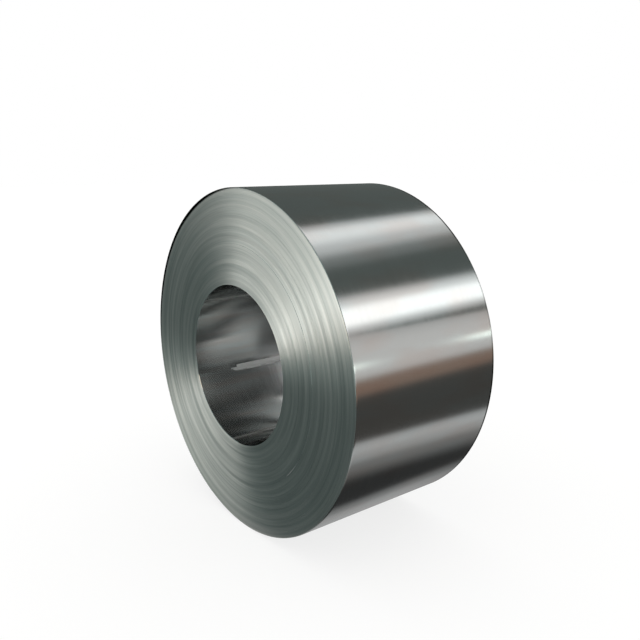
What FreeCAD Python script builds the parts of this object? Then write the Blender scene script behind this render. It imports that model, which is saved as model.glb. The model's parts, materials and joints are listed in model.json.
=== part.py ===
import FreeCAD
import Part
import math
import os

# A coil of cold-rolled stainless steel strip, lying on its side with its eye along Y.
# One strip is wound tightly on itself, so the coil is one turned solid with a bore.
# The origin is on the floor, under the middle of the coil. X runs across, Z is up.
# Angles are in degrees round the eye, from +X towards +Z, as seen from the front (-Y).
# All sizes are in millimetres.

# The strip and how far it is wound
strip_width = 560.0
strip_thickness = 1.0
bore_diameter = 508.0
full_turns = 296

# The ends: wraps creep sideways while the coil is wound, in groups of wraps that hold together.
# The inner wraps stand proud at the front end, and as deep inside the back end.
telescope = 16.0
wrap_groups = 16
group_unevenness = 0.35
edge_wander = 1.4
wander_step = 2.4

# The two ends of the strip
head_angle = 200.0
tail_angle = 248.0
lap_ramp_angle = 8.0

bore_radius = bore_diameter / 2
outer_radius = bore_radius + full_turns * strip_thickness
overall_length = strip_width + telescope
axis_height = outer_radius
axis = FreeCAD.Vector(0, 1, 0)


def uneven(step, steps):
    """An uneven share between -1 and 1 for each step, which dies away at the first and last."""
    return math.sin(math.pi * step / steps) * math.sin(wander_step * step)


def turns_inside(boundary):
    """How many turns lie inside a boundary between wrap groups, counted from the bore."""
    place = boundary + group_unevenness * uneven(boundary, wrap_groups)
    return round(full_turns * place / wrap_groups)


def group_shift(group):
    """How far a wrap group stands forward of the outermost one, along -Y."""
    last = wrap_groups - 1
    return telescope * (1 - group / last) + edge_wander * uneven(group, last)


def end_line(end_y):
    """The stepped line of one end, from the bore out, as (radius, y) corners."""
    corners = []
    for group in range(wrap_groups):
        y = end_y - group_shift(group)
        for boundary in (group, group + 1):
            corners.append((bore_radius + turns_inside(boundary) * strip_thickness, y))
    return corners


def about_axis(radius, angle, y=0.0):
    """The point at this radius and angle from the coil's axis."""
    turn = math.radians(angle)
    return FreeCAD.Vector(radius * math.cos(turn), y, axis_height + radius * math.sin(turn))


def wound_body():
    """All the full turns: half the coil's section, turned about the eye."""
    back_y = overall_length / 2
    front_y = back_y - strip_width
    outline = end_line(front_y) + end_line(back_y)[::-1]
    points = [about_axis(radius, 0, y) for radius, y in outline]
    section = Part.Face(Part.makePolygon(points + points[:1]))
    return section.revolve(FreeCAD.Vector(0, 0, axis_height), axis, 360)


def arc_between(start, middle, end):
    """An arc through three (radius, angle) points round the coil's axis."""
    return Part.Arc(about_axis(*start), about_axis(*middle), about_axis(*end)).toShape()


def outer_lap():
    """The last part turn, which climbs over the strip's head and ends at the cut tail."""
    seat = outer_radius - strip_thickness
    top = outer_radius + strip_thickness
    climb_angle = head_angle - lap_ramp_angle
    wire = Part.Wire([
        arc_between((outer_radius, climb_angle),
                    (outer_radius + strip_thickness / 2, head_angle - lap_ramp_angle / 2),
                    (top, head_angle)),
        arc_between((top, head_angle), (top, (head_angle + tail_angle) / 2), (top, tail_angle)),
        Part.makeLine(about_axis(top, tail_angle), about_axis(seat, tail_angle)),
        arc_between((seat, tail_angle), (seat, (climb_angle + tail_angle) / 2), (seat, climb_angle)),
        Part.makeLine(about_axis(seat, climb_angle), about_axis(outer_radius, climb_angle)),
    ])
    lap = Part.Face(wire).extrude(axis * strip_width)
    lap.translate(axis * (overall_length / 2 - strip_width))
    return lap


def head_gap():
    """The wedge under the second wrap, where it climbs over the cut head of the first."""
    climb_angle = head_angle - lap_ramp_angle
    wire = Part.Wire([
        arc_between((bore_radius, climb_angle),
                    (bore_radius + strip_thickness / 2, head_angle - lap_ramp_angle / 2),
                    (bore_radius + strip_thickness, head_angle)),
        Part.makeLine(about_axis(bore_radius + strip_thickness, head_angle),
                      about_axis(bore_radius - strip_thickness, head_angle)),
        Part.makeLine(about_axis(bore_radius - strip_thickness, head_angle),
                      about_axis(bore_radius, climb_angle)),
    ])
    gap = Part.Face(wire).extrude(axis * (2 * overall_length))
    gap.translate(axis * -overall_length)
    return gap


def strip_coil():
    """The whole coil as one solid."""
    return wound_body().fuse(outer_lap()).cut(head_gap()).removeSplitter()


os.makedirs("parts", exist_ok=True)
coil = strip_coil()
coil.exportStep("parts/strip_coil.step")
print("strip_coil:", len(coil.Solids), "solid, valid", coil.isValid(), "volume m3", coil.Volume / 1e9)
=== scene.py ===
import json
import math
import random

import bmesh
import bpy
from mathutils import Matrix, Vector


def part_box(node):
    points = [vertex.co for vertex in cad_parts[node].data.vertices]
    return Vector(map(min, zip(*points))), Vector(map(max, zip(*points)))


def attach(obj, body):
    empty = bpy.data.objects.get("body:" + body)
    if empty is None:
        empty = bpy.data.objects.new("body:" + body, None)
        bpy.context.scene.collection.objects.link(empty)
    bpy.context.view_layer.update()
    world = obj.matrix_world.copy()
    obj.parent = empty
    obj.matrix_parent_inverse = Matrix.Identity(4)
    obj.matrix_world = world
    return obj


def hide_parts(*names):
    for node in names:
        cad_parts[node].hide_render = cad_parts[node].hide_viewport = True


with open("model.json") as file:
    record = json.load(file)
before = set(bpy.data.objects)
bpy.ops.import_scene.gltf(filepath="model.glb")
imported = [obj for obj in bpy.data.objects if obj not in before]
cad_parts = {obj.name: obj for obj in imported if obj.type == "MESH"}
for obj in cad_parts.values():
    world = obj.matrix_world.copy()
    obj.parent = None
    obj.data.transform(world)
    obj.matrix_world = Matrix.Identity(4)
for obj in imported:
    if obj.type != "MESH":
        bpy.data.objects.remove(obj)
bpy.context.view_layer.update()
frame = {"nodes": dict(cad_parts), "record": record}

bl_info = {
    "name": "Steel Coil Dresser",
    "version": (1, 0, 0),
    "blender": (4, 5, 0),
    "location": "3D View > Sidebar > Steel Coil",
    "description": "Gives a packed coil of stainless strip its turns, finishes and studio",
    "category": "Add Mesh",
}

# The coil as the frame has it: its eye along Y, its lowest line on the floor
NODE = "strip_coil"
BODY = "root"
MOUNTS = {mount["name"]: mount for mount in frame["record"]["mounts"]}
BORE_RADIUS = MOUNTS["eye"]["dims"]["r_mm"] / 1000
STRIP_WIDTH = MOUNTS["eye"]["dims"]["length_mm"] / 1000
OUTER_RADIUS = MOUNTS["saddle_line"]["dims"]["r_mm"] / 1000
BACK_END = MOUNTS["back_ring"]["pos_m"][1]
CENTRE = Vector((0.0, 0.0, MOUNTS["eye"]["pos_m"][2]))

# Steps round the eye of a full turn, of the head's bent part and of the climb over the head, sides of the rounded
# corners, and parts of the strip's width at its head
STEPS_ROUND = 200
CURL_STEPS = 16
CLIMB_STEPS = 4
CORNER_STEPS = 4
HEAD_PARTS = 70

# Points this close are merged, and edges up to this angle are shaded smooth
MERGE_DISTANCE = 1e-6
SMOOTH_ANGLE = math.radians(30)

# The flat of the strip looks out from the axis or in towards it, and a slit edge looks along the eye. On a rounded
# corner this cosine parts the two, and the other one picks the faces of an end that lie square to the eye.
FLAT_SIDE = 0.8
SQUARE_END = 0.99

# Seeds of the random draws: widths and seams of the rings, and the waves of the bent head
RING_SEED = 11
CURL_SEED = 5

# Painted dark reflection at the upper left of both rims, and painted shade along the right half of the wall's back
# edge: direction out from the axis to the middle of each, and its width
RIM_SHADE_SIDE = (-0.77, 0.0, 0.64)
RIM_SHADE_WIDTH = 0.018
RIM_SHADE_FADE = 0.005
WALL_SHADE_SIDE = (0.91, 0.0, 0.41)
WALL_SHADE_WIDTH = 0.011

# Numbers of a Mix node's colour sockets, since its sockets for other kinds of value have the same names
FIRST, SECOND, MIXED = 6, 7, 2

# Width of the frame in which the camera's focal length is measured
FRAME_PIXELS = 640


def linear(code):
    """An sRGB hex colour as linear red, green and blue."""
    levels = [int(code[i:i + 2], 16) / 255 for i in (1, 3, 5)]
    return tuple(v / 12.92 if v <= 0.04045 else ((v + 0.055) / 1.055) ** 2.4 for v in levels)


def colour(name, description, code):
    """A colour property that starts at an sRGB hex value."""
    return bpy.props.FloatVectorProperty(name=name, description=description, subtype="COLOR", size=3,
                                         min=0.0, max=1.0, default=linear(code))


def length(name, description, metres):
    """A length property in metres."""
    return bpy.props.FloatProperty(name=name, description=description, default=metres, min=0.0,
                                   unit="LENGTH", subtype="DISTANCE", precision=5)


def angle(name, description, degrees):
    """An angle property, given in degrees."""
    return bpy.props.FloatProperty(name=name, description=description, default=math.radians(degrees),
                                   subtype="ANGLE")


class CoilTurns(bpy.types.PropertyGroup):
    """How the turns of the strip show on the coil. Angles go round the eye from +X towards +Z."""

    strip_thickness: length("Strip thickness", "Thickness of the wound strip", 0.001)
    thin_ring: length("Thinnest ring", "Least width of a ring of edges that lie level", 0.006)
    thick_ring: length("Thickest ring", "Greatest width of such a ring", 0.015)
    seam_width: length("Seam width", "Width of the seam between two rings", 0.0012)
    seam_depth: length("Seam depth", "Greatest depth of a seam", 0.0004)
    unevenness: length("Unevenness", "How far the edge of a ring strays to either side", 0.0002)
    worn_rim: length("Worn rim", "Radius to which handling has rounded the outer rim", 0.0045)
    worn_eye: length("Worn eye", "Radius to which it has rounded the rim of the eye", 0.0015)
    head_angle: angle("Head", "Where the strip starts, in the eye", 200)
    tail_angle: angle("Tail", "Where the strip ends, outside", 248)
    climb_angle: angle("Climb", "Angle over which a turn climbs over the head", 8)
    curl_length: length("Curl", "How much of the strip's head is bent up", 0.016)
    curl_wave: length("Curl wave", "How long the waves in the bent head are", 0.07)
    curl_rise: length("Curl rise", "How far the bent head stands off the turn below", 0.0026)
    curl_start: length("Curl start", "How far inside the front end the bend starts", 0.135)


class CoilFinish(bpy.types.PropertyGroup):
    """Colours of the strip, and of the shade painted on its rims and on the wall's back edge."""

    flat: colour("Flat", "Bright annealed face of the strip", "#CBCFCE")
    flat_tint: colour("Flat, tinted", "Where the face has a faint straw tint", "#CBC9C6")
    edge_light: colour("Edge, light", "Freshly slit edges of the turns", "#D4D4D0")
    edge_dark: colour("Edge, dark", "Duller rings between them", "#AEB2AF")
    # A painted dark reflection on the rims and a painted shade along the back edge of the wall
    painted_shade: colour("Painted shade", "Dark marks on the rim and on the back edge of the wall", "#262A28")


class CoilStage(bpy.types.PropertyGroup):
    """The camera, the floor and the light."""

    focal_pixels: bpy.props.FloatProperty(name="Focal length", default=718.25,
                                          description=f"In pixels of a frame {FRAME_PIXELS} pixels wide")
    azimuth: angle("Azimuth", "The camera's turn round the coil, from straight in front of the eye", 51.4)
    elevation: angle("Elevation", "The camera's height above level, as seen from the coil", 12.68)
    distance: length("Distance", "From the camera to the middle of the coil", 2.4246)
    aim_across: length("Aim across", "How far right of the coil's middle the camera aims", 0.0398)
    aim_over: length("Aim over", "How far over the coil's middle the camera aims", 0.1038)
    floor: colour("Floor", "Pale studio floor", "#F2F2F0")
    room: bpy.props.FloatProperty(name="Room light", description="Level of the even light in the room",
                                  default=1.0, min=0.0)


def add_node(tree, kind, settings=None, sockets=None):
    """Adds a node. Each socket is given a value, or the output of another node to link."""
    node = tree.nodes.new(kind)
    for name, value in (settings or {}).items():
        setattr(node, name, value)
    for name, value in (sockets or {}).items():
        if isinstance(value, bpy.types.NodeSocket):
            tree.links.new(value, node.inputs[name])
        else:
            node.inputs[name].default_value = value
    return node


def new_material(name):
    """A material with an empty node tree, and that tree."""
    material = bpy.data.materials.new(name)
    material.use_nodes = True
    material.node_tree.nodes.clear()
    return material, material.node_tree


def round_the_eye(tree):
    """Where a point lies on the coil: its direction out from the axis, its radius and its place along Y."""
    place = add_node(tree, "ShaderNodeTexCoord").outputs["Object"]
    centred = add_node(tree, "ShaderNodeMapping", sockets={"Vector": place, "Location": -CENTRE})
    parts = add_node(tree, "ShaderNodeSeparateXYZ", sockets={"Vector": centred.outputs["Vector"]})
    across = add_node(tree, "ShaderNodeCombineXYZ", sockets={"X": parts.outputs["X"], "Z": parts.outputs["Z"]})
    radius = add_node(tree, "ShaderNodeVectorMath", {"operation": "LENGTH"}, {0: across.outputs["Vector"]})
    outward = add_node(tree, "ShaderNodeVectorMath", {"operation": "NORMALIZE"}, {0: across.outputs["Vector"]})
    return outward.outputs["Vector"], radius.outputs["Value"], parts.outputs["Y"]


def streaks(tree, outward, along, size, arc, detail=2.0):
    """Noise drawn out round the eye: size is its width in metres along, arc how often it changes in a turn."""
    # The circle of directions is about six units long, and noise changes about once in a unit
    turned = add_node(tree, "ShaderNodeVectorMath", {"operation": "SCALE"}, {0: outward, "Scale": arc / 6})
    step = add_node(tree, "ShaderNodeMath", {"operation": "DIVIDE"}, {0: along, 1: size})
    line = add_node(tree, "ShaderNodeCombineXYZ", sockets={"Y": step.outputs["Value"]})
    where = add_node(tree, "ShaderNodeVectorMath", {"operation": "ADD"},
                     {0: turned.outputs["Vector"], 1: line.outputs["Vector"]})
    noise = add_node(tree, "ShaderNodeTexNoise", sockets={"Vector": where.outputs["Vector"], "Scale": 1.0,
                                                          "Detail": detail})
    return noise.outputs["Fac"]


def with_painted_shade(tree, clean, share, finish):
    """Sockets of a shader with a share of painted shade over a clean colour; the painted shade doesn't shine at a
    slant either.
    """
    colours = add_node(tree, "ShaderNodeMix", {"data_type": "RGBA"}, {
        "Factor": share, FIRST: clean, SECOND: (*finish.painted_shade, 1.0)})
    shine = add_node(tree, "ShaderNodeMath", {"operation": "SUBTRACT"}, {0: 1.0, 1: share})
    return {"Base Color": colours.outputs[MIXED], "Specular Tint": shine.outputs["Value"]}


def back_edge_shade(tree, outward, along):
    """Share of the painted shade along the wall's back edge: all over its right half but for a gap in the middle."""
    # The cosine of the angle from the middle of the painted shade, which fades out about a right angle away
    side = add_node(tree, "ShaderNodeVectorMath", {"operation": "DOT_PRODUCT"}, {0: outward, 1: WALL_SHADE_SIDE})
    shade_right_half = add_node(tree, "ShaderNodeMapRange", sockets={"Value": side.outputs["Value"], "From Min": -0.2,
                                                         "From Max": 0.1})
    shade_with_gap = add_node(tree, "ShaderNodeMapRange", sockets={
        "Value": side.outputs["Value"], "From Min": 0.91, "From Max": 0.98, "To Min": shade_right_half.outputs["Result"],
        "To Max": 0.1})
    edge = add_node(tree, "ShaderNodeMapRange", sockets={"Value": along, "From Min": BACK_END - WALL_SHADE_WIDTH,
                                                         "From Max": BACK_END - 0.7 * WALL_SHADE_WIDTH})
    share = add_node(tree, "ShaderNodeMath", {"operation": "MULTIPLY"},
                     {0: edge.outputs["Result"], 1: shade_with_gap.outputs["Result"]})
    return share.outputs["Value"]


def bright_annealed_flat(name, finish, drawn_out, smooth, rough, painted_shade_edge=False):
    """Cold-rolled stainless strip, bright annealed: mirror-like, its reflections drawn out along the eye."""
    material, tree = new_material(name)
    outward, radius, along = round_the_eye(tree)
    # Rolling lines run round the coil, 0.01 mm apart on the real strip and drawn at 2 mm to show
    lines = streaks(tree, outward, along, 0.002, 6, detail=3.0)
    # The strip isn't quite flat: long shallow buckles, a few to the turn
    buckles = streaks(tree, outward, along, 0.2, 50)
    # A faint straw tint from annealing, in wide patches
    tint = add_node(tree, "ShaderNodeMapRange", sockets={"Value": streaks(tree, outward, along, 0.25, 40),
                                                         "From Min": 0.45, "From Max": 0.65})
    base = add_node(tree, "ShaderNodeMix", {"data_type": "RGBA"}, {
        "Factor": tint.outputs["Result"], FIRST: (*finish.flat, 1.0), SECOND: (*finish.flat_tint, 1.0)})
    gloss = add_node(tree, "ShaderNodeMapRange", sockets={"Value": lines, "From Min": 0.3, "From Max": 0.7,
                                                          "To Min": smooth, "To Max": rough})
    # The buckles are shallower in the tight inner turns
    squared = add_node(tree, "ShaderNodeMath", {"operation": "MULTIPLY"}, {0: radius, 1: radius})
    settled = add_node(tree, "ShaderNodeMath", {"operation": "MULTIPLY"}, {0: buckles, 1: squared.outputs["Value"]})
    waves = add_node(tree, "ShaderNodeBump", sockets={"Height": settled.outputs["Value"], "Distance": 0.0013,
                                                      "Strength": 0.25})
    colours = {"Base Color": base.outputs[MIXED]}
    # A painted shade along the wall's back edge, over the clean colour
    if painted_shade_edge:
        colours = with_painted_shade(tree, base.outputs[MIXED], back_edge_shade(tree, outward, along), finish)
    along_eye = add_node(tree, "ShaderNodeCombineXYZ", sockets={"Y": 1.0})
    shader = add_node(tree, "ShaderNodeBsdfPrincipled", sockets={
        **colours, "Metallic": 1.0, "Anisotropic": drawn_out, "Roughness": gloss.outputs["Result"],
        "Tangent": along_eye.outputs["Vector"], "Normal": waves.outputs["Normal"]})
    add_node(tree, "ShaderNodeOutputMaterial", sockets={"Surface": shader.outputs["BSDF"]})
    return material


def outer_wall(finish):
    """The strip's face outside, wound tight and a little hazy: soft-edged bands of light along the wall, and a
    painted shade along its back edge.
    """
    return bright_annealed_flat("bright_annealed_wall", finish, drawn_out=0.4, smooth=0.12, rough=0.19,
                                painted_shade_edge=True)


def eye_wall(finish):
    """The strip's face in the eye, clearer, but with its reflections drawn far out by the rolling lines."""
    return bright_annealed_flat("bright_annealed_eye", finish, drawn_out=0.97, smooth=0.074, rough=0.118)


def slit_edges(finish):
    """Slit edges of stainless strip, packed turn on turn: satin rings that draw the light out into a fan."""
    material, tree = new_material("slit_edges")
    outward, radius, along = round_the_eye(tree)
    # Single turns, 1 mm thick on the real coil and drawn about 3 mm wide to show
    turns = streaks(tree, outward, radius, 0.0025, 8)
    # Stretches of turns that were slit or wound alike
    bands = streaks(tree, outward, radius, 0.014, 5, detail=3.0)
    both = add_node(tree, "ShaderNodeMath", {"operation": "MULTIPLY_ADD"}, {0: turns, 1: 0.4, 2: bands})
    share = add_node(tree, "ShaderNodeMapRange", sockets={"Value": both.outputs["Value"], "From Min": 0.5,
                                                          "From Max": 0.9})
    tone = add_node(tree, "ShaderNodeMix", {"data_type": "RGBA"}, {
        "Factor": share.outputs["Result"], FIRST: (*finish.edge_dark, 1.0), SECOND: (*finish.edge_light, 1.0)})
    # A painted dark reflection on the rim, widest in its middle and narrowing to both ends
    side = add_node(tree, "ShaderNodeVectorMath", {"operation": "DOT_PRODUCT"}, {0: outward, 1: RIM_SHADE_SIDE})
    rim_shade_reach = add_node(tree, "ShaderNodeMapRange", sockets={"Value": side.outputs["Value"], "From Min": 0.55,
                                                            "From Max": 0.95, "To Max": RIM_SHADE_WIDTH})
    reach = add_node(tree, "ShaderNodeMath", {"operation": "ADD"}, {0: radius, 1: rim_shade_reach.outputs["Result"]})
    darkened = add_node(tree, "ShaderNodeMapRange", sockets={"Value": reach.outputs["Value"],
                                                             "From Min": OUTER_RADIUS,
                                                             "From Max": OUTER_RADIUS + RIM_SHADE_FADE})
    satin = add_node(tree, "ShaderNodeMapRange", sockets={"Value": bands, "From Min": 0.3, "From Max": 0.7,
                                                          "To Min": 0.42, "To Max": 0.48})
    ridges = add_node(tree, "ShaderNodeBump", sockets={"Height": turns, "Distance": 0.0005, "Strength": 0.4})
    # The rim's painted dark reflection goes over the tone of the rings
    shader = add_node(tree, "ShaderNodeBsdfPrincipled", sockets={
        **with_painted_shade(tree, tone.outputs[MIXED], darkened.outputs["Result"], finish), "Metallic": 1.0,
        "Anisotropic": 0.95, "Roughness": satin.outputs["Result"], "Tangent": outward,
        "Normal": ridges.outputs["Normal"]})
    add_node(tree, "ShaderNodeOutputMaterial", sockets={"Surface": shader.outputs["BSDF"]})
    return material


def rubbed_head_with_painted_highlight():
    """The strip's head where it is bent up, dulled by the mandrel's rubbing and painted near white as a painted
    highlight: an even grey among sharp reflections.
    """
    material, tree = new_material("rubbed_head_with_painted_highlight")
    shader = add_node(tree, "ShaderNodeBsdfPrincipled", sockets={
        "Base Color": (*linear("#F6F6F6"), 1.0), "Metallic": 1.0, "Roughness": 0.6})
    add_node(tree, "ShaderNodeOutputMaterial", sockets={"Surface": shader.outputs["BSDF"]})
    return material


def deselect_all():
    """Object mode with nothing selected."""
    if bpy.context.object and bpy.context.object.mode != "OBJECT":
        bpy.ops.object.mode_set(mode="OBJECT")
    bpy.ops.object.select_all(action="DESELECT")


def out_from_axis(turn):
    """The direction out from the coil's axis at an angle."""
    return Vector((math.cos(turn), 0.0, math.sin(turn)))


def spot(point, turn):
    """A (radius, y) point of a section, at an angle round the eye."""
    radius, y = point
    return CENTRE + out_from_axis(turn) * radius + Vector((0.0, y, 0.0))


def draw_outline(name, points, turn=0.0):
    """A closed line through (radius, y) points at an angle round the eye, in edit mode and selected."""
    deselect_all()
    bpy.ops.mesh.primitive_plane_add(size=STRIP_WIDTH)
    piece = bpy.context.object
    piece.name = piece.data.name = name
    bpy.ops.object.mode_set(mode="EDIT")
    bpy.ops.mesh.merge(type="CENTER")
    bpy.ops.transform.translate(value=spot(points[0], turn))
    for here, there in zip(points, points[1:] + points[:1]):
        bpy.ops.mesh.extrude_vertices_move(TRANSFORM_OT_translate={"value": spot(there, turn) - spot(here, turn)})
    bpy.ops.mesh.select_all(action="SELECT")
    bpy.ops.mesh.remove_doubles(threshold=MERGE_DISTANCE)
    return piece


def spin(sweep, steps):
    """Turns what is selected about the eye."""
    bpy.ops.mesh.spin(steps=steps, angle=sweep, center=CENTRE, axis=(0.0, 1.0, 0.0))


def close_up():
    """Merges what coincides, turns the faces outwards and leaves edit mode."""
    bpy.ops.mesh.select_all(action="SELECT")
    bpy.ops.mesh.remove_doubles(threshold=MERGE_DISTANCE)
    bpy.ops.mesh.normals_make_consistent(inside=False)
    bpy.ops.object.mode_set(mode="OBJECT")
    bpy.ops.object.shade_smooth_by_angle(angle=SMOOTH_ANGLE)


def finish_piece(piece, finish):
    """Gives a piece its finishes, by where its faces look, and its place in the frame."""
    finishes = {"bright_annealed_wall": outer_wall, "bright_annealed_eye": eye_wall, "slit_edges": slit_edges}
    shown = []
    for face in piece.data.polygons:
        out = face.center - CENTRE
        out.y = 0.0
        if abs(face.normal.dot(out.normalized())) < FLAT_SIDE:
            shown.append("slit_edges")
        elif out.length > (BORE_RADIUS + OUTER_RADIUS) / 2:
            shown.append("bright_annealed_wall")
        else:
            shown.append("bright_annealed_eye")
    used = [name for name in finishes if name in shown]
    piece.data.materials.clear()
    for name in used:
        piece.data.materials.append(bpy.data.materials.get(name) or finishes[name](finish))
    for face, name in zip(piece.data.polygons, shown):
        face.material_index = used.index(name)
    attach(piece, BODY)
    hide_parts(NODE)


def wrap_groups():
    """The frame's groups of turns whose edges lie level: inner radius, outer radius and y at the back end."""
    coil = frame["nodes"][NODE].data
    groups = {}
    for face in coil.polygons:
        if face.normal.y > SQUARE_END:
            places = [coil.vertices[i].co - CENTRE for i in face.vertices]
            radii = [math.hypot(place.x, place.z) for place in places]
            level = round(face.center.y, 5)
            inner, outer = groups.get(level, (OUTER_RADIUS, BORE_RADIUS))
            groups[level] = (min(inner, *radii), min(max(outer, *radii), OUTER_RADIUS))
    return sorted((inner, outer, level) for level, (inner, outer) in groups.items())


def level_at(radius, groups):
    """Where along Y the edges lie at a radius: each group of turns passes into the next."""
    places = [((inner + outer) / 2, level) for inner, outer, level in groups]
    for (here, level), (there, next_level) in zip(places, places[1:]):
        if radius < there:
            return level + (next_level - level) * max(0.0, (radius - here) / (there - here))
    return places[-1][1]


def worn_away(radius, turns):
    """How much handling has taken off the edges at this radius, beside the eye and the rim."""
    away = 0.0
    for inside, worn in ((radius - BORE_RADIUS, turns.worn_eye), (OUTER_RADIUS - radius, turns.worn_rim)):
        short = max(0.0, worn - max(0.0, inside))
        away += worn - math.sqrt(worn ** 2 - short ** 2)
    return away


def end_line(side, turns):
    """The line of one end from the eye to the rim, as (radius, y): rings of edges with seams between them.
    side is -1 for the front end and 1 for the back end, and both ends have the same draws."""
    draw = random.Random(RING_SEED)
    first = BORE_RADIUS + turns.strip_thickness
    corner = [1 - math.cos(math.pi / 2 * i / CORNER_STEPS) for i in range(CORNER_STEPS)]
    groups = wrap_groups()
    line = []

    def add(radius, level, stray=0.0, depth=0.0):
        """Adds a point where the edges lie at a level, or in a seam of some depth."""
        edge = level if side > 0 else level - STRIP_WIDTH
        inwards = turns.unevenness + depth + worn_away(radius, turns)
        line.append((radius, edge - side * inwards + stray))

    # A line close to each corner keeps the rest of the wall beside it straight where it is shaded smooth
    add(first, groups[0][2], depth=2 * turns.worn_rim)
    add(first, groups[0][2])
    for share in corner:
        if turns.worn_eye * share > turns.strip_thickness:
            add(BORE_RADIUS + turns.worn_eye * share, groups[0][2])
    radius, end = BORE_RADIUS + turns.worn_eye, OUTER_RADIUS - turns.worn_rim
    while radius < end:
        width = min(draw.uniform(turns.thin_ring, turns.thick_ring), end - radius)
        if end - radius - width < turns.thin_ring:
            width = end - radius
        # A ring lies nearly in line with its neighbours, with a slight step to each
        levels = [(level_at(radius + width / 2, groups) + 2 * level_at(place, groups)) / 3
                  for place in (radius, radius + width)]
        strays = [draw.uniform(-turns.unevenness, turns.unevenness) for _ in range(2)]
        add(radius, levels[0], depth=turns.seam_depth * draw.uniform(0.2, 1.0) ** 2)
        add(radius + turns.seam_width / 2, levels[0], strays[0])
        add(radius + width - turns.seam_width / 2, levels[1], strays[1])
        radius += width
    for share in corner[::-1]:
        add(OUTER_RADIUS - turns.worn_rim * share, groups[-1][2])
    line.append((OUTER_RADIUS, line[-1][1] - side * turns.worn_rim))
    return line


class COIL_OT_wound_turns(bpy.types.Operator):
    """Turns the coil's section about the eye, with its rings of edges on both ends"""

    bl_idname = "coil.wound_turns"
    bl_label = "Wound turns"

    def execute(self, context):
        turns = context.scene.coil_turns
        outline = end_line(1, turns) + end_line(-1, turns)[::-1]
        piece = draw_outline("wound_turns", outline)
        spin(math.tau, STEPS_ROUND)
        close_up()
        finish_piece(piece, context.scene.coil_finish)
        return {"FINISHED"}


def strip_section(inner, level, turns, parts=1):
    """The strip's section at one turn, as (radius, y) points, with its width in equal parts."""
    sides = []
    for radius in (inner, inner + turns.strip_thickness):
        inwards = turns.unevenness + worn_away(radius, turns)
        front, back = level - STRIP_WIDTH + inwards, level - inwards
        sides.append([(radius, front + (back - front) * i / parts) for i in range(parts + 1)])
    return sides[0] + sides[1][::-1]


def wind(name, section, start, stretches):
    """Winds a section of strip about the eye, over stretches of (angle, steps, rise away from the axis)."""
    piece = draw_outline(name, section, start)
    bpy.ops.mesh.edge_face_add()
    turn = start
    for sweep, steps, rise in stretches:
        if not rise:
            spin(sweep, steps)
            turn += sweep
            continue
        for _ in range(steps):
            spin(sweep / steps, 1)
            turn += sweep / steps
            bpy.ops.transform.translate(value=out_from_axis(turn) * rise / steps)
    return piece


def curl_head(piece, turns):
    """Bends the strip's cut head up into the eye, in uneven waves, except near the front end."""
    draw = random.Random(CURL_SEED)
    mesh = bmesh.from_edit_mesh(piece.data)
    out = out_from_axis(turns.head_angle)
    front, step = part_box(NODE)[0][1], STRIP_WIDTH / HEAD_PARTS
    columns = {}
    for corner in mesh.verts:
        place = corner.co - CENTRE
        across = Vector((place.x, 0.0, place.z))
        if across.angle(out) < 0.001 and across.length < BORE_RADIUS + 1.5 * turns.strip_thickness:
            columns.setdefault(round((place.y - front) / step), []).append(corner)
    # A column is lifted by itself and by its neighbours, whose moves reach it by Blender's smooth falloff
    near = [1 - i * step / turns.curl_length for i in range(1, int(turns.curl_length / step) + 1)]
    crowd = 1 + 2 * sum(3 * n ** 2 - 2 * n ** 3 for n in near)
    for column in range(round(turns.curl_start / step), HEAD_PARTS - 1):
        bpy.ops.mesh.select_all(action="DESELECT")
        for corner in columns[column]:
            corner.select_set(True)
        mesh.select_flush(True)
        # The bend rises from its start, and then it is wavy and a little uneven
        along = column * step - turns.curl_start
        share = min(1.0, 0.3 + along / turns.curl_wave) / crowd
        share *= 1 + 0.2 * math.sin(math.tau * along / turns.curl_wave) + draw.uniform(-0.15, 0.15)
        bpy.ops.transform.translate(value=-out * turns.curl_rise * share,
                                    use_proportional_edit=True, use_proportional_connected=True,
                                    proportional_size=turns.curl_length, proportional_edit_falloff="SMOOTH")


class COIL_OT_strip_ends(bpy.types.Operator):
    """Winds the first turn, with the strip's head bent up a little, and the last part turn with its tail"""

    bl_idname = "coil.strip_ends"
    bl_label = "Head and tail"

    def execute(self, context):
        turns, finish = context.scene.coil_turns, context.scene.coil_finish
        groups = wrap_groups()
        curl = 2 * turns.curl_length / BORE_RADIUS
        rest = math.tau - turns.climb_angle - curl
        section = strip_section(BORE_RADIUS, groups[0][2], turns, parts=HEAD_PARTS)
        piece = wind("head_turn", section, turns.head_angle,
                     [(curl, CURL_STEPS, 0.0), (rest, round(rest / math.tau * STEPS_ROUND), 0.0),
                      (turns.climb_angle, CLIMB_STEPS, turns.strip_thickness)])
        curl_head(piece, turns)
        close_up()
        finish_piece(piece, finish)
        # The mandrel rubs dull what stands further off the turn below than a sixth of the bend's rise, and a painted
        # highlight lightens it
        piece.data.materials.append(rubbed_head_with_painted_highlight())
        rubbed_painted_highlight_radius = BORE_RADIUS - turns.curl_rise / 6
        for face in piece.data.polygons:
            if math.hypot(face.center.x, face.center.z - CENTRE.z) < rubbed_painted_highlight_radius:
                face.material_index = len(piece.data.materials) - 1
        lap = turns.tail_angle - turns.head_angle
        section = strip_section(OUTER_RADIUS - turns.strip_thickness, groups[-1][2], turns)
        piece = wind("tail_lap", section, turns.head_angle - turns.climb_angle,
                     [(turns.climb_angle, CLIMB_STEPS, turns.strip_thickness),
                      (lap, round(lap / math.tau * STEPS_ROUND), 0.0)])
        close_up()
        finish_piece(piece, finish)
        return {"FINISHED"}


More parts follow.
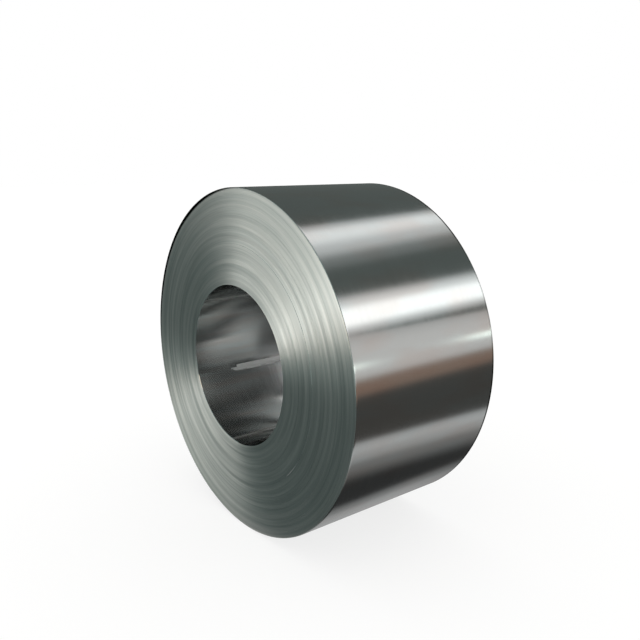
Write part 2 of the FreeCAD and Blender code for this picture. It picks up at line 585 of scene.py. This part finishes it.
def stage_plane(name, place, size, material, turn=(0.0, 0.0, 0.0)):
    """A flat rectangle of the stage."""
    deselect_all()
    bpy.ops.mesh.primitive_plane_add(size=1, location=place, rotation=turn)
    plane = bpy.context.object
    plane.name = plane.data.name = name
    plane.scale = (*size, 1.0)
    plane.data.materials.append(material)
    return plane


def only_in_reflections(thing):
    """A card that polished metal shows, and that neither the camera nor the floor's light meets."""
    thing.visible_camera = False
    thing.visible_diffuse = False
    thing.visible_transmission = False
    thing.visible_volume_scatter = False
    thing.visible_shadow = False


def card_material(name, tint, level, across, along):
    """A card that glows and fades into what is behind it: across and along it, stops of (place, share)."""
    material, tree = new_material(name)
    places = add_node(tree, "ShaderNodeSeparateXYZ",
                      sockets={"Vector": add_node(tree, "ShaderNodeTexCoord").outputs["UV"]})
    shares = []
    for axis, stops in (("X", across), ("Y", along)):
        ramp = add_node(tree, "ShaderNodeValToRGB", sockets={"Fac": places.outputs[axis]})
        ramp.color_ramp.interpolation = "EASE"
        elements = ramp.color_ramp.elements
        while len(elements) < len(stops):
            elements.new(0.5)
        for element, (place, share) in zip(elements, stops):
            element.position = place
            element.color = (share, share, share, 1.0)
        shares.append(ramp.outputs["Color"])
    both = add_node(tree, "ShaderNodeMath", {"operation": "MULTIPLY"}, {0: shares[0], 1: shares[1]})
    clear = add_node(tree, "ShaderNodeBsdfTransparent")
    glow = add_node(tree, "ShaderNodeEmission", sockets={"Color": (*linear(tint), 1.0), "Strength": level})
    card = add_node(tree, "ShaderNodeMixShader", sockets={"Fac": both.outputs["Value"], 1: clear.outputs[0],
                                                          2: glow.outputs[0]})
    add_node(tree, "ShaderNodeOutputMaterial", sockets={"Surface": card.outputs[0]})
    return material


def round_card_material(name, stops):
    """A glowing disc whose light changes round its middle: stops of (degrees from +X towards +Z, level)."""
    material, tree = new_material(name)
    place = add_node(tree, "ShaderNodeTexCoord").outputs["Object"]
    turn = add_node(tree, "ShaderNodeTexGradient", {"gradient_type": "RADIAL"}, {"Vector": place})
    ramp = add_node(tree, "ShaderNodeValToRGB", sockets={"Fac": turn.outputs["Fac"]})
    elements = ramp.color_ramp.elements
    while len(elements) < len(stops):
        elements.new(0.5)
    for element, (degrees, level) in zip(elements, stops):
        element.position = degrees / 360 + 0.5
        element.color = (level, level, level, 1.0)
    glow = add_node(tree, "ShaderNodeEmission", sockets={"Color": ramp.outputs["Color"], "Strength": 1.0})
    add_node(tree, "ShaderNodeOutputMaterial", sockets={"Surface": glow.outputs[0]})
    return material


# Profiles of a card, as (place, share of its level)
EVEN = ((0.0, 1.0), (1.0, 1.0))
SOFT = ((0.0, 0.0), (0.35, 1.0), (0.65, 1.0), (1.0, 0.0))

# The dark round tent about the coil, lighter in front. Name, y where the part starts and ends, level and tint of its
# cloth, level and tint of the cloth on its floor
TENT = (
    ("front", -3.6, -0.3, 0.5, "#CEE3E0", 0.2, "#CFE4E2"),
    ("back", -0.3, 4.2, 0.14, "#E2EFEA", 0.075, "#EFEFEA"),
)
TENT_RADIUS = 3.2

# Sides of the tent and of the round cards
ROUND_SIDES = 64

# Heights over the floor of its cloth and of the lowest card, and how far cards lie over each other
CLOTH_HEIGHT = 0.002
CARD_HEIGHT = 0.003
CARD_GAP = 0.001

# Distance of the long cards from the coil's axis, how much nearer the lines are, and their middle and length along Y
STRIP_RADIUS = 2.2
LINE_GAP = 0.05
STRIP_MIDDLE = 1.65
STRIP_LENGTH = 3.6

# Long cards beside and over the coil. Name, angle round the eye, skew in degrees, width in metres, level, tint,
# profile across from low to high, profile along from front to back
STRIPS = (
    ("key_strip", 36.5, 6.0, 1.05, 1.75, "#FFFFFF",
     ((0.0, 0.1), (0.12, 0.4), (0.27, 1.0), (0.5, 1.0), (0.68, 0.5), (0.92, 0.0)), EVEN),
    ("low_strip", 3.5, 0.0, 1.43, 0.75, "#FAF6F4",
     ((0.0, 0.0), (0.11, 0.04), (0.25, 0.6), (0.42, 0.95), (0.76, 1.0), (1.0, 0.8)), EVEN),
    ("top_strip", 81.0, 16.0, 1.5, 1.15, "#FFFFFF",
     ((0.0, 0.0), (0.22, 0.12), (0.44, 0.55), (0.67, 1.0), (0.76, 0.95), (0.86, 0.5), (0.96, 0.0)), EVEN),
)

# Thin bright lines on the low strip, where two of its panels meet: a near one and a far one, and a warm hem
LINES = (
    ("near_line", 5.0, 0.0, 0.16, 2.1, "#F4FFF9", SOFT, ((0.28, 1.0), (0.4, 0.0))),
    ("far_line", 6.5, 0.0, 0.18, 2.2, "#F4FFF9", SOFT, ((0.56, 0.0), (0.64, 1.0))),
    ("warm_hem", -7.0, 0.0, 0.5, 0.34, "#E8C4B0", SOFT, EVEN),
)

# Flat cards on the floor. Name, middle x and y, turn in degrees, width and length, level, tint, profiles
FLOOR_STRIPS = (
    ("dark_gap", 0.47, 0.45, 0.0, 0.36, 1.6, 0.035, "#FFFFFF", SOFT, EVEN),
    ("beside_coil", 0.725, 0.42, 8.5, 0.47, 1.6, 0.55, "#FFFFFF",
     ((0.0, 0.0), (0.31, 0.3), (0.53, 0.75), (0.7, 1.0), (0.82, 0.9), (1.0, 0.0)), EVEN),
    ("under_coil", 0.11, 0.45, 0.0, 0.62, 1.5, 0.52, "#FFFFFF",
     ((0.0, 0.3), (0.5, 0.62), (0.75, 0.72), (0.83, 0.7), (0.9, 0.42), (1.0, 0.0)),
     ((0.0, 1.0), (0.3, 1.0), (0.6, 0.6), (1.0, 0.5))),
)

# Round cards behind the eye, seen only through it: a wide one, lit from the upper left and weakly from the right, and
# before its middle a smaller one, lit from above and weakly from below. Name, y, radius, and stops round the axis of
# (degrees from +X towards +Z, level)
EYE_CARDS = (
    ("eye_card_wide", 0.45, 0.57,
     ((-180, 0.1), (-15, 0.1), (10, 0.25), (40, 0.1), (95, 0.1), (105, 0.95), (160, 0.5), (180, 0.1))),
    ("eye_card_middle", 0.44, 0.36,
     ((-180, 0.2), (-135, 0.1), (-90, 0.2), (-30, 0.03), (30, 0.4), (90, 0.75), (180, 0.2))),
)

# Soft panels side by side in front of the coil. Name, degrees to the right of straight in front, lowest and highest
# line, level, tint
PANELS = (
    ("front_panel_left", -45.0, 0.64, 1.79, 1.9, "#FFFFFB"),
    ("front_panel_middle", -15.0, 0.66, 1.79, 2.75, "#FFFFFA"),
    ("front_panel_right", 15.0, 0.80, 1.79, 3.9, "#FFFFFC"),
    ("front_panel_side", 45.0, 1.0, 1.79, 1.2, "#FFEFD8"),
)
PANEL_DISTANCE = 2.2
PANEL_WIDTH = 1.18

# A black flag far left, which the rounded rim mirrors on that side
FLAG_PLACE = (-2.7, -0.1, 0.9)
FLAG_SIZE = (2.4, 2.6)
FLAG_LEVEL = 0.01

# The floor as the camera sees it: how bright its glow is, and how much of it is glow
FLOOR_GLOW = 1.07
FLOOR_GLOW_SHARE = 0.72
FLOOR_SIZE = (60.0, 60.0)


class COIL_OT_studio(bpy.types.Operator):
    """Sets up the camera, the pale floor, the even room and the cards that the metal reflects"""

    bl_idname = "coil.studio"
    bl_label = "Studio"

    def camera(self, stage):
        """The camera, aimed past the coil's middle so that the frame needs no shift."""
        turn, rise = stage.azimuth, stage.elevation
        right = Vector((math.cos(turn), math.sin(turn), 0.0))
        back = Vector((math.sin(turn) * math.cos(rise), -math.cos(turn) * math.cos(rise), math.sin(rise)))
        up = back.cross(right)
        place = CENTRE + right * stage.aim_across + up * stage.aim_over + back * stage.distance
        bpy.ops.object.camera_add(location=place)
        camera = bpy.context.object
        camera.rotation_mode = "QUATERNION"
        camera.rotation_quaternion = (-back).to_track_quat("-Z", "Y")
        camera.data.lens = stage.focal_pixels / FRAME_PIXELS * camera.data.sensor_width
        bpy.context.scene.camera = camera

    def seen(self, tree):
        """1 for what the camera sees, straight or through a reflection or glass, and 0 for other light."""
        rays = add_node(tree, "ShaderNodeLightPath").outputs
        two = add_node(tree, "ShaderNodeMath", {"operation": "MAXIMUM"},
                       {0: rays["Is Camera Ray"], 1: rays["Is Glossy Ray"]})
        three = add_node(tree, "ShaderNodeMath", {"operation": "MAXIMUM"},
                         {0: two.outputs["Value"], 1: rays["Is Transmission Ray"]})
        return three.outputs["Value"]

    def room(self, stage):
        """A white room to the camera and in reflections, and an even light on everything."""
        world = bpy.data.worlds.new("room")
        world.use_nodes = True
        tree = world.node_tree
        tree.nodes.clear()
        white = add_node(tree, "ShaderNodeBackground", sockets={"Color": (1.0, 1.0, 1.0, 1.0), "Strength": 1.0})
        even = add_node(tree, "ShaderNodeBackground", sockets={"Color": (1.0, 1.0, 1.0, 1.0),
                                                               "Strength": stage.room})
        mixed = add_node(tree, "ShaderNodeMixShader", sockets={"Fac": self.seen(tree), 1: even.outputs[0],
                                                               2: white.outputs[0]})
        add_node(tree, "ShaderNodeOutputWorld", sockets={"Surface": mixed.outputs[0]})
        bpy.context.scene.world = world

    def floor(self, stage):
        """A pale floor that fades into the white room and keeps a faint shadow of the coil."""
        material, tree = new_material("pale_floor")
        paint = add_node(tree, "ShaderNodeBsdfDiffuse", sockets={"Color": (*stage.floor, 1.0)})
        white = add_node(tree, "ShaderNodeEmission", sockets={"Strength": FLOOR_GLOW})
        share = add_node(tree, "ShaderNodeMath", {"operation": "MULTIPLY"}, {0: self.seen(tree), 1: FLOOR_GLOW_SHARE})
        mixed = add_node(tree, "ShaderNodeMixShader", sockets={"Fac": share.outputs["Value"],
                                                               1: paint.outputs[0], 2: white.outputs[0]})
        add_node(tree, "ShaderNodeOutputMaterial", sockets={"Surface": mixed.outputs[0]})
        stage_plane("floor", (0.0, 0.0, 0.0), FLOOR_SIZE, material)

    def tent(self):
        """A dark round tent with a cloth on the floor, both lighter in front of the coil than beside it."""
        for part, start, end, level, tint, floor_level, floor_tint in TENT:
            cloth = card_material("tent_cloth_" + part, tint, level, EVEN, EVEN)
            middle, depth = (start + end) / 2, end - start
            deselect_all()
            bpy.ops.mesh.primitive_cylinder_add(vertices=ROUND_SIDES, radius=TENT_RADIUS, depth=depth,
                                                end_fill_type="NOTHING",
                                                location=CENTRE + Vector((0.0, middle, 0.0)),
                                                rotation=(math.pi / 2, 0.0, 0.0))
            tent = bpy.context.object
            tent.name = tent.data.name = "tent_" + part
            tent.data.materials.append(cloth)
            only_in_reflections(tent)
            far_end = CENTRE + Vector((0.0, max(start, end, key=abs), 0.0))
            only_in_reflections(stage_plane("tent_end_" + part, far_end, (2 * TENT_RADIUS, 2 * TENT_RADIUS), cloth,
                                            (math.pi / 2, 0.0, 0.0)))
            floor_cloth = card_material("floor_cloth_" + part, floor_tint, floor_level, EVEN, EVEN)
            only_in_reflections(stage_plane("floor_cloth_" + part, (0.0, middle, CLOTH_HEIGHT),
                                            (2 * TENT_RADIUS, depth), floor_cloth))

    def cards(self):
        """Long cards beside and over the coil, flat ones on the floor, and two round ones behind the eye."""
        for layer, strips in enumerate((STRIPS, LINES)):
            for name, degrees, skew, width, level, tint, across, along in strips:
                out = out_from_axis(math.radians(degrees))
                place = CENTRE + out * (STRIP_RADIUS - layer * LINE_GAP) + Vector((0.0, STRIP_MIDDLE, 0.0))
                turn = (Matrix.Rotation(math.atan2(-out.x, -out.z), 3, "Y")
                        @ Matrix.Rotation(-math.radians(skew), 3, "Z")).to_euler()
                only_in_reflections(stage_plane(name, place, (width, STRIP_LENGTH),
                                                card_material(name, tint, level, across, along), turn))
        for layer, (name, x, y, turn, width, depth, level, tint, across, along) in enumerate(FLOOR_STRIPS):
            only_in_reflections(stage_plane(name, (x, y, CARD_HEIGHT + layer * CARD_GAP), (width, depth),
                                            card_material(name, tint, level, across, along),
                                            (0.0, 0.0, math.radians(turn))))
        for name, y, radius, stops in EYE_CARDS:
            deselect_all()
            bpy.ops.mesh.primitive_circle_add(vertices=ROUND_SIDES, radius=radius, fill_type="NGON",
                                              location=CENTRE + Vector((0.0, y, 0.0)),
                                              rotation=(math.pi / 2, 0.0, 0.0))
            card = bpy.context.object
            card.name = card.data.name = name
            card.data.materials.append(round_card_material(name, stops))
            only_in_reflections(card)

    def panels(self):
        """Soft panels in front, which light the edges of the turns, and the black flag."""
        for name, degrees, low, high, level, tint in PANELS:
            turn = math.radians(degrees)
            place = (math.sin(turn) * PANEL_DISTANCE, -STRIP_WIDTH / 2 - math.cos(turn) * PANEL_DISTANCE,
                     (low + high) / 2)
            only_in_reflections(stage_plane(name, place, (PANEL_WIDTH, high - low),
                                            card_material(name, tint, level, EVEN, EVEN),
                                            (math.pi / 2, 0.0, turn)))
        flag = card_material("black_flag", "#FFFFFF", FLAG_LEVEL, EVEN, EVEN)
        only_in_reflections(stage_plane("black_flag", FLAG_PLACE, FLAG_SIZE, flag,
                                        (math.pi / 2, 0.0, math.pi / 2)))

    def execute(self, context):
        stage = context.scene.coil_stage
        context.scene.view_settings.view_transform = "Standard"
        self.camera(stage)
        self.room(stage)
        self.floor(stage)
        self.tent()
        self.cards()
        self.panels()
        return {"FINISHED"}


class COIL_PT_sidebar(bpy.types.Panel):
    """The coil's settings and the steps that make it, in order"""

    bl_idname = "COIL_PT_sidebar"
    bl_label = "Steel Coil"
    bl_space_type = "VIEW_3D"
    bl_region_type = "UI"
    bl_category = "Steel Coil"

    def draw(self, context):
        for group in (context.scene.coil_turns, context.scene.coil_finish, context.scene.coil_stage):
            box = self.layout.box()
            for name in group.bl_rna.properties.keys():
                if name not in ("rna_type", "name"):
                    box.prop(group, name)
        for step in STEPS:
            self.layout.operator(step.bl_idname)


STEPS = (COIL_OT_wound_turns, COIL_OT_strip_ends, COIL_OT_studio)
GROUPS = {"coil_turns": CoilTurns, "coil_finish": CoilFinish, "coil_stage": CoilStage}


def register():
    """Adds the settings, the operators and the panel to Blender."""
    for item in (*GROUPS.values(), *STEPS, COIL_PT_sidebar):
        bpy.utils.register_class(item)
    for name, group in GROUPS.items():
        setattr(bpy.types.Scene, name, bpy.props.PointerProperty(type=group))


def unregister():
    """Takes them away again."""
    for name in GROUPS:
        delattr(bpy.types.Scene, name)
    for item in reversed((*GROUPS.values(), *STEPS, COIL_PT_sidebar)):
        bpy.utils.unregister_class(item)


def main():
    """Makes the coil and its studio."""
    register()
    bpy.ops.coil.wound_turns()
    bpy.ops.coil.strip_ends()
    bpy.ops.coil.studio()


if __name__ == "__main__":
    main()
